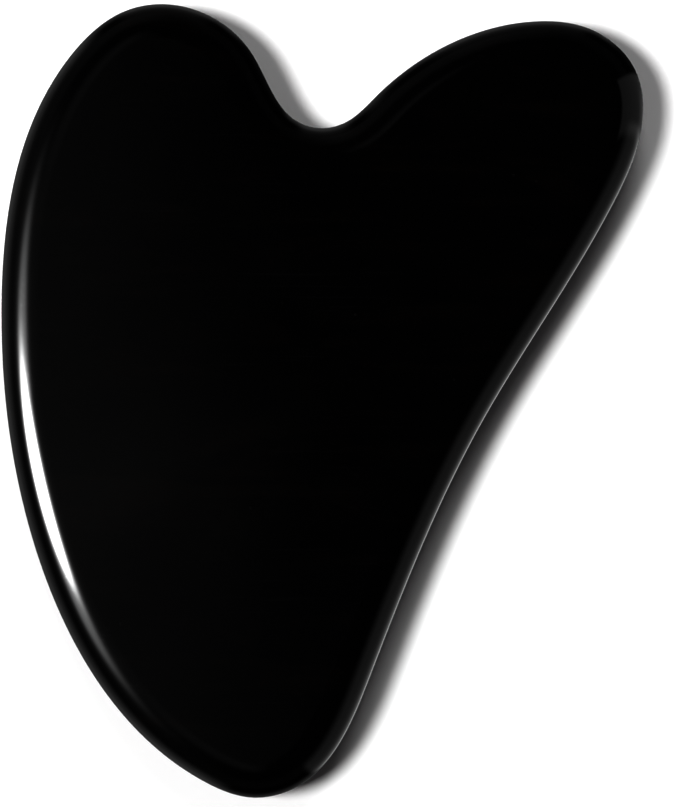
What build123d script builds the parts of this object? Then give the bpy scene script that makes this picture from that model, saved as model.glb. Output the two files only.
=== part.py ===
from build123d import *
import os

# A gua sha scraper: one flat polished stone, cut to a free-form outline with a rounded rim.
# Millimetres. The stone lies on its lower face, +Z up. +Y runs from the tip to the two lobes,
# and the origin is on the table, under the middle of the outline.

# Overall sizes
stone_length = 80.0
stone_width = 64.7
stone_thickness = 7.0
rim_band = 0.2  # straight band left halfway up the rim, between its two roundings

# The high lobe, on the left, reaches the full length
high_lobe_radius = 10.6
high_lobe_place = -0.4977  # how far across its middle lies, as a share of half the width

# The low lobe, on the right, reaches the full width
low_lobe_radius = 8.2
low_lobe_drop = 2.0  # how far its top lies below the high lobe's

# The finger notch between the lobes
notch_radius = 5.0
notch_depth = 12.5
notch_x = 0.0

# The tip at the foot
tip_radius = 8.8
tip_place = -0.2102  # how far across its middle lies, as a share of half the width

# Points that the flanks pass through, as shares of half the width and half the length
notch_shoulder = [(0.172, 0.771), (0.682, 0.957)]
hollow_flank = [(0.907, 0.498), (0.507, -0.040), (0.156, -0.679)]
round_flank = [(-0.951, -0.193), (-1.0, 0.208), (-0.791, 0.863)]

# Worked-out sizes
half_length = stone_length / 2
half_width = stone_width / 2
rim_radius = (stone_thickness - rim_band) / 2


def arc_points(centre, radius, bearings):
    """Points of a construction circle, at bearings in degrees from +X towards +Y."""
    return [centre + Vector(radius, 0).rotate(Axis.Z, bearing) for bearing in bearings]


def flank_points(shares):
    """Points of a flank, from their shares of half the width and half the length."""
    return [Vector(across * half_width, along * half_length) for across, along in shares]


# One closed smooth curve, clockwise from the high lobe. The construction circles set how
# tightly it turns at the lobes, the notch and the tip, and the flanks sweep between them.
high_lobe = Vector(high_lobe_place * half_width, half_length - high_lobe_radius)
notch = Vector(notch_x, half_length - notch_depth + notch_radius)
low_lobe = Vector(half_width - low_lobe_radius, half_length - low_lobe_drop - low_lobe_radius)
tip = Vector(tip_place * half_width, tip_radius - half_length)

outline_points = [
    *arc_points(high_lobe, high_lobe_radius, [110, 90, 35]),
    *arc_points(notch, notch_radius, [240, 270, 300]),
    *flank_points(notch_shoulder),
    *arc_points(low_lobe, low_lobe_radius, [70, 25, 0]),
    *flank_points(hollow_flank),
    *arc_points(tip, tip_radius, [-65, -90, -125]),
    *flank_points(round_flank),
]

with BuildPart() as scraper_stone:
    with BuildSketch(Plane.XY):
        with BuildLine():
            Spline(*outline_points, periodic=True)
        make_face()
    extrude(amount=stone_thickness)
    broad_faces = scraper_stone.faces().filter_by(Axis.Z)
    fillet(broad_faces.edges(), radius=rim_radius)

scraper_stone.part.label = "scraper_stone"

os.makedirs("parts", exist_ok=True)
export_step(scraper_stone.part, "parts/scraper_stone.step")
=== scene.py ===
from math import cos, pi, radians, sin

import bpy
import numpy as np
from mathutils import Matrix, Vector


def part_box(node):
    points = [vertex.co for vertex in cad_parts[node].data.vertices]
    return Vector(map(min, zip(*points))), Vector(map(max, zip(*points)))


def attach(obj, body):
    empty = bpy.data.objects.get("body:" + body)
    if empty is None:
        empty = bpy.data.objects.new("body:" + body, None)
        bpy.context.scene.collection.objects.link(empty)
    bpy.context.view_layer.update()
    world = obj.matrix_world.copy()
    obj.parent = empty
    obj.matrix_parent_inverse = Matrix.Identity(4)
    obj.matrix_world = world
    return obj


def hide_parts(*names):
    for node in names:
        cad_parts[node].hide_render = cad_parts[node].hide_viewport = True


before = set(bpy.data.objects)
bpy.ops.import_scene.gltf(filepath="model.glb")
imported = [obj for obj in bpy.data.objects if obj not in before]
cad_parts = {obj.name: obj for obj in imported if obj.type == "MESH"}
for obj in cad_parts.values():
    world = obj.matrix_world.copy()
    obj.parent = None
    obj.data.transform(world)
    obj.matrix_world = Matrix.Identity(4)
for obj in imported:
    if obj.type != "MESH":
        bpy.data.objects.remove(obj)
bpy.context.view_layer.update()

# ---- Scraper stone -------------------------------------------------------------------------
# One piece of volcanic glass, nearly black. It is sawn to a flat blank, ground to a free-form
# outline with a round rim, and polished all over until it mirrors the room. Metres.

stone_low, stone_high = map(np.array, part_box("scraper_stone"))
half_width, half_length, half_thickness = (stone_high - stone_low) / 2

# The lobes, the notch and the tip: radius, centre and the bearings of points on that circle
high_lobe_radius = 0.0106
high_lobe_centre = (-0.4977 * half_width, half_length - high_lobe_radius)
notch_radius = 0.0050
notch_depth = 0.0125
notch_centre = (0, half_length - notch_depth + notch_radius)
low_lobe_radius = 0.0082
low_lobe_drop = 0.0020
low_lobe_centre = (half_width - low_lobe_radius, half_length - low_lobe_drop - low_lobe_radius)
tip_radius = 0.0088
tip_centre = (-0.2102 * half_width, tip_radius - half_length)

# The flanks, as shares of half the width and half the length
notch_shoulder = [(0.172, 0.771), (0.682, 0.957)]
hollow_flank = [(0.907, 0.498), (0.507, -0.040), (0.156, -0.679)]
round_flank = [(-0.951, -0.193), (-1.0, 0.208), (-0.791, 0.863)]


def on_circle(centre, radius, bearings):
    """Points of a circle: centre + radius * (cos, sin) of each bearing, in degrees."""
    turn = np.radians(bearings)
    return np.array(centre) + radius * np.stack([np.cos(turn), np.sin(turn)], axis=1)


def closed_curve(points, count):
    """Even steps along a closed curve through the points, and its outward normals.

    From each point to the next the curve is a cubic of the chord's length. The slopes at the
    points are solved together, so that curvature runs on through every point.
    """
    after = np.roll(points, -1, axis=0)
    chord = np.linalg.norm(after - points, axis=1)
    pull = (after - points) / chord[:, None] ** 2
    own = np.eye(len(points))
    ahead = np.roll(own, 1, axis=1) / chord[:, None]
    behind = np.roll(own, -1, axis=1) / np.roll(chord, 1)[:, None]
    middle = own * 2 * (1 / chord + 1 / np.roll(chord, 1))[:, None]
    slope = np.linalg.solve(behind + middle + ahead, 3 * (pull + np.roll(pull, 1, axis=0)))
    slope_after = np.roll(slope, -1, axis=0)

    def at(spot):
        piece = spot.astype(int) % len(points)
        u = (spot % 1)[:, None]
        h = chord[piece, None]
        a, b, m, n = points[piece], after[piece], slope[piece] * h, slope_after[piece] * h
        place = a + u * m + u**2 * (3 * (b - a) - 2 * m - n) + u**3 * (2 * (a - b) + m + n)
        along = m + 2 * u * (3 * (b - a) - 2 * m - n) + 3 * u**2 * (2 * (a - b) + m + n)
        return place, along / np.linalg.norm(along, axis=1)[:, None]

    spots = np.linspace(0, len(points), 200 * len(points) + 1)
    fine = at(spots)[0]
    length = np.r_[0, np.cumsum(np.linalg.norm(np.diff(fine, axis=0), axis=1))]
    even = np.interp(np.arange(count) / count * length[-1], length, spots)
    place, along = at(even)
    return place, np.stack([-along[:, 1], along[:, 0]], axis=1)


outline_points = np.concatenate([
    on_circle(high_lobe_centre, high_lobe_radius, [110, 90, 35]),
    on_circle(notch_centre, notch_radius, [240, 270, 300]),
    np.array(notch_shoulder) * [half_width, half_length],
    on_circle(low_lobe_centre, low_lobe_radius, [70, 25, 0]),
    np.array(hollow_flank) * [half_width, half_length],
    on_circle(tip_centre, tip_radius, [-65, -90, -125]),
    np.array(round_flank) * [half_width, half_length],
])
outline_steps = 640
outline, outward = closed_curve(outline_points, outline_steps)

# The curve swells a few microns past its outermost points, so it is fitted to the stone's box
half_box = np.array([half_width, half_length])
outline = (outline - outline.min(axis=0)) / np.ptp(outline, axis=0) * 2 * half_box - half_box


def rim_section(ease, steps):
    """The rim's section from the broad face to halfway down: inset from the outline, and drop.

    It starts level, turns faster and faster over the first share `ease` of its length, and
    then turns evenly, as a round, until it is upright.
    """
    along = np.linspace(0, 1, steps)
    turn = np.where(along < ease, along**2 / (2 * ease), along - ease / 2)
    turn *= pi / 2 / turn[-1]
    level = (np.cos(turn[1:]) + np.cos(turn[:-1])) / 2
    steep = (np.sin(turn[1:]) + np.sin(turn[:-1])) / 2
    out, drop = np.r_[0, np.cumsum(level)], np.r_[0, np.cumsum(steep)]
    size = half_thickness / drop[-1]
    return (out[-1] - out) * size, drop * size


def wheel_marks(x, y):
    """Share of the mark depth, 0 to 1, at a place: the mean of four crossing cosine waves.

    Each wave has its length, the bearing that it runs along and where it starts.
    """
    waves = [(0.021, 20, 0.4), (0.017, 100, 2.1), (0.013, 155, 4.0), (0.029, 62, 5.2)]
    total = 0
    for length, bearing, start in waves:
        way = x * cos(radians(bearing)) + y * sin(radians(bearing))
        total = total + np.cos(way * 2 * pi / length + start)
    return (len(waves) + total) / (2 * len(waves))


def stone_surface():
    """One half of the stone as rings: from the middle of the face out to the halfway line.

    The first rings are the rim's inner edge drawn in towards the middle of the face, and the
    rest carry the rim's section round the outline. The wheel's marks fade out down the rim.
    Returns rings x points x 3, and the middle of the face.
    """
    face_rings = 17
    mark_depth = 0.000012
    inset, drop = rim_section(ease=0.15, steps=34)
    inner = outline - outward * inset[0]
    middle = np.array([inner[:, 0].mean(), inner[:, 1].mean()])
    share = np.linspace(0, 1, face_rings + 2)[1:-1, None, None]
    face = middle + (inner - middle) * share
    rim = outline - outward * inset[:, None, None]
    flat = np.concatenate([face, rim])
    height = np.r_[np.zeros(len(face)), -drop][:, None] + half_thickness
    fading = height / half_thickness
    height = height - mark_depth * fading * wheel_marks(flat[..., 0], flat[..., 1])
    return np.dstack([flat, height]), middle


def stone_mesh():
    """Both halves of the stone, joined at the halfway line, with a point at each middle."""
    upper, middle = stone_surface()
    upper[..., :2] += (stone_low + stone_high)[:2] / 2
    lower = upper[-2::-1] * [1, 1, -1]
    rings = np.concatenate([upper, lower])
    rings[..., 2] += (stone_low + stone_high)[2] / 2
    count = rings.shape[1]
    points = rings.reshape(-1, 3)
    poles = rings[[0, -1]].mean(axis=1)
    step = np.arange(count)
    beside = (step + 1) % count
    ring = np.arange(len(rings) - 1)[:, None] * count
    sides = np.stack([ring + step, ring + beside, ring + count + beside, ring + count + step], axis=-1)
    top, bottom = np.full(count, len(points)), np.full(count, len(points) + 1)
    last = len(points) - count
    caps = np.stack([np.stack([top, beside, step]), np.stack([bottom, last + step, last + beside])])
    faces = sides.reshape(-1, 4).tolist() + caps.transpose(0, 2, 1).reshape(-1, 3).tolist()
    mesh = bpy.data.meshes.new("polished_stone")
    mesh.from_pydata(np.vstack([points, poles]).tolist(), [], faces)
    mesh.validate()
    mesh.polygons.foreach_set("use_smooth", [True] * len(mesh.polygons))
    return mesh


class Wire:
    """An output of a shader node. Arithmetic on wires adds Math nodes."""

    def __init__(self, tree, source=None):
        self.tree, self.source = tree, source

    def node(self, kind, settings=None, inputs=None, output=0):
        """Adds a node, sets it up, feeds its sockets numbers, colours or wires, gives an output."""
        made = self.tree.nodes.new("ShaderNode" + kind)
        for name, value in (settings or {}).items():
            setattr(made, name, value)
        for name, value in (inputs or {}).items():
            if isinstance(value, Wire):
                self.tree.links.new(value.source, made.inputs[name])
            else:
                made.inputs[name].default_value = value
        return Wire(self.tree, made.outputs[output]) if made.outputs else None

    def maths(self, operation, *values):
        return self.node("Math", {"operation": operation}, dict(enumerate(values)))

    def fade(self, low, high):
        """0 up to low, 1 from high on, and a smooth ramp between."""
        ramp = {"interpolation_type": "SMOOTHSTEP"}
        return self.node("MapRange", ramp, {"Value": self, "From Min": low, "From Max": high})

    def __add__(self, other):
        return self.maths("ADD", self, other)

    def __sub__(self, other):
        return self.maths("SUBTRACT", self, other)

    def __rsub__(self, other):
        return self.maths("SUBTRACT", other, self)

    def __mul__(self, other):
        return self.maths("MULTIPLY", self, other)

    def __truediv__(self, other):
        return self.maths("DIVIDE", self, other)

    def __rtruediv__(self, other):
        return self.maths("DIVIDE", other, self)

    def __pow__(self, other):
        return self.maths("POWER", self, other)

    __radd__, __rmul__ = __add__, __mul__


def black_polish():
    """Volcanic glass: black with the faintest brown flow bands, and a hand-rubbed high polish."""
    material = bpy.data.materials.new("black_stone")
    material.use_nodes = True
    material.node_tree.nodes.clear()
    wire = Wire(material.node_tree)
    place = wire.node("TexCoord", output="Object")

    flow = wire.node("Mapping", {"vector_type": "POINT"}, {
        "Vector": place, "Rotation": (0.3, 0.2, radians(28)), "Scale": (20, 90, 60)})
    bands = wire.node("TexNoise", inputs={
        "Vector": flow, "Scale": 3.0, "Detail": 5.0, "Roughness": 0.6, "Distortion": 0.8})
    specks = wire.node("TexVoronoi", inputs={"Vector": place, "Scale": 700.0}, output="Distance")
    rare = wire.node("TexNoise", inputs={"Vector": place, "Scale": 160.0, "Detail": 2.0})
    ash = (1 - specks.fade(0.05, 0.16)) * rare.fade(0.60, 0.68)
    colour = wire.node("Mix", {"data_type": "RGBA"}, {
        "Factor": bands.fade(0.48, 0.72),
        "A": (0.0011, 0.0011, 0.0012, 1), "B": (0.0022, 0.0018, 0.0016, 1)}, output="Result")

    haze = wire.node("TexNoise", inputs={"Vector": place, "Scale": 130.0, "Detail": 4.0})
    rubbed = wire.node("Mapping", inputs={
        "Vector": place, "Rotation": (0, 0, radians(17)), "Scale": (30, 1400, 1400)})
    hairlines = wire.node("TexNoise", inputs={"Vector": rubbed, "Scale": 2.4, "Detail": 2.0})
    scratches = hairlines.fade(0.64, 0.72)
    roughness = 0.055 + 0.03 * haze.fade(0.4, 0.7) + 0.05 * scratches + 0.15 * ash

    pores = wire.node("TexNoise", inputs={"Vector": place, "Scale": 420.0, "Detail": 2.0})
    relief = pores + 0.25 * haze - 0.15 * scratches
    bump = wire.node("Bump", inputs={"Height": relief, "Strength": 1.0, "Distance": 0.0000008})

    shader = wire.node("BsdfPrincipled", inputs={
        "Base Color": colour, "Roughness": roughness, "IOR": 1.49, "Normal": bump})
    wire.node("OutputMaterial", inputs={"Surface": shader})
    return material


stone = bpy.data.objects.new("polished_stone", stone_mesh())
bpy.context.scene.collection.objects.link(stone)
stone.data.materials.append(black_polish())
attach(stone, "root")
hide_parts("scraper_stone")

# ---- Table ---------------------------------------------------------------------------------
# A wide plain white sheet just under the stone. It takes the shadow, and the polish mirrors
# the even glow of the studio's lower half instead of it.

sheet_size = 6.0
sheet_gap = 0.00002
reach = sheet_size / 2
table_mesh = bpy.data.meshes.new("table")
table_mesh.from_pydata([(x, y, -sheet_gap) for x, y in
                        [(-reach, -reach), (reach, -reach), (reach, reach), (-reach, reach)]],
                       [], [(0, 1, 2, 3)])
table = bpy.data.objects.new("table", table_mesh)
bpy.context.scene.collection.objects.link(table)
paper = bpy.data.materials.new("white_paper")
paper.use_nodes = True
paper.node_tree.nodes.clear()
sheet = Wire(paper.node_tree)
matte = sheet.node("BsdfDiffuse", inputs={"Color": (0.80, 0.80, 0.80, 1)})
sheet.node("OutputMaterial", inputs={"Surface": matte})
table_mesh.materials.append(paper)
table.visible_glossy = False

# ---- Light ---------------------------------------------------------------------------------
# A round lamp on the left throws the short soft shadow, and a far fill and a wide sky lighten
# it. They light only the table. The polish mirrors the room instead: a softbox with its spill,
# pale cards on the right and dim glows all round. The camera sees a plain white backdrop.


def sun(name, azimuth, elevation, width, strength, colour=(1, 1, 1)):
    """A far round lamp at an azimuth counted from +X towards +Y; width is its angle across."""
    lamp = bpy.data.lights.new(name, "SUN")
    lamp.energy, lamp.angle, lamp.color = strength, radians(width), colour
    placed = bpy.data.objects.new(name, lamp)
    placed.rotation_euler = (0, radians(90 - elevation), radians(azimuth))
    placed.visible_glossy = False
    placed.visible_camera = False
    bpy.context.scene.collection.objects.link(placed)


sun("key_lamp", azimuth=181, elevation=56.5, width=19, strength=4.25)
sun("far_fill", azimuth=84, elevation=38, width=30, strength=1.7)
sun("sky_fill", azimuth=0, elevation=90, width=150, strength=0.39, colour=(1, 0.96, 0.98))

room = bpy.data.worlds.new("studio")
room.use_nodes = True
room.node_tree.nodes.clear()
bpy.context.scene.world = room
air = Wire(room.node_tree)
way = air.node("TexCoord", output="Generated")
parts = air.node("SeparateXYZ", inputs={"Vector": way})
x, y, z = [Wire(air.tree, output) for output in parts.source.node.outputs]
height = z.maths("ARCSINE", z) / radians(1)


def bearing_from(centre):
    """Degrees round the horizon from a centre azimuth, from -180 to 180."""
    ahead = x * cos(radians(centre)) + y * sin(radians(centre))
    aside = y * cos(radians(centre)) - x * sin(radians(centre))
    return aside.maths("ARCTAN2", aside, ahead) / radians(1)


def glow(azimuth, elevation, half_width, half_height, hardness, lean=0):
    """A patch of light: 1 / (1 + q**(2 * hardness)), q being the distance in half sizes.

    A lean raises it by so many degrees for each degree of azimuth.
    """
    off = bearing_from(azimuth)
    across = (off / half_width) ** 2
    up = ((height - elevation - lean * off) / half_height) ** 2
    return 1 / (1 + (across + up) ** hardness)


def sector(azimuth, half_width, edge):
    """1 within half_width degrees of an azimuth, 0 from an edge further."""
    off = bearing_from(azimuth)
    return 1 - off.maths("ABSOLUTE", off).fade(half_width, half_width + edge)


# The long white streak on the left rim, and the softer light round its ends
softbox = 60 * glow(192.5, 49, 10.6, 18.4, hardness=5, lean=0.6)
spill = 7.6 * glow(192.5, 48, 23, 18.5, hardness=3.5)

# The pale bands and the thin bright line on the right
right_card = 0.72 * sector(-28, 22, 5) * (1 - height.fade(4, 36))
right_line = 0.42 * sector(-30, 18, 8) * (1 - height.fade(-70, -38))
tall_card = 0.74 * sector(9, 15, 5) * (0.35 + 0.65 * height.fade(-62, 0)) * (1 - height.fade(42, 53))

# The dim light low down on the left, behind, underneath and on the walls, and on the face
left_glow = 0.70 * sector(190, 50, 14) * (1 - height.fade(-20, 8)) * (0.1 + 0.9 * height.fade(-65, -25))
far_glow = 0.34 * sector(92, 16, 14) * (0.3 + 0.7 * height.fade(-62, -38)) * (1 - height.fade(-35, 25))
floor_glow = 0.27 * (1 - height.fade(-45, -20)) * (1 - 0.9 * sector(32, 12, 14))
wall_glow = (0.06 + 0.12 * sector(140, 35, 25)) * height.fade(-8, 6) * (1 - height.fade(20, 42))
overhead = 0.31 * (0 - x * cos(radians(10)) - y * sin(radians(10))).fade(0, 0.09) * height.fade(55, 80)

cards = right_card + right_line + tall_card
glows = left_glow + far_glow + floor_glow + wall_glow
studio = 0.03 + softbox + spill + cards + glows + overhead
mirrored = air.node("Background", inputs={"Color": (0.8, 0.8, 0.8, 1), "Strength": studio})
backdrop = air.node("Background", inputs={"Color": (1, 1, 1, 1), "Strength": 1.4})
seen = air.node("LightPath", output="Is Camera Ray")
both = air.node("MixShader", inputs={"Fac": seen, 1: mirrored, 2: backdrop})
air.node("OutputWorld", inputs={"Surface": both})
room.cycles_visibility.diffuse = False

# ---- Camera --------------------------------------------------------------------------------
# Straight above the stone with a long lens, set a little to the right, because the shadow
# falls that way.

lens = bpy.data.cameras.new("camera")
lens.lens, lens.sensor_width = 180, 36
view_length = 0.08139
view_centre = (0.00173, -0.00026)
camera = bpy.data.objects.new("camera", lens)
camera_height = stone_high[2] / 2 + view_length * lens.lens / lens.sensor_width
camera.location = (*view_centre, camera_height)
bpy.context.scene.collection.objects.link(camera)
bpy.context.scene.camera = camera

grade = bpy.context.scene.view_settings
grade.view_transform = "Standard"
grade.look = "None"
grade.gamma = 0.6
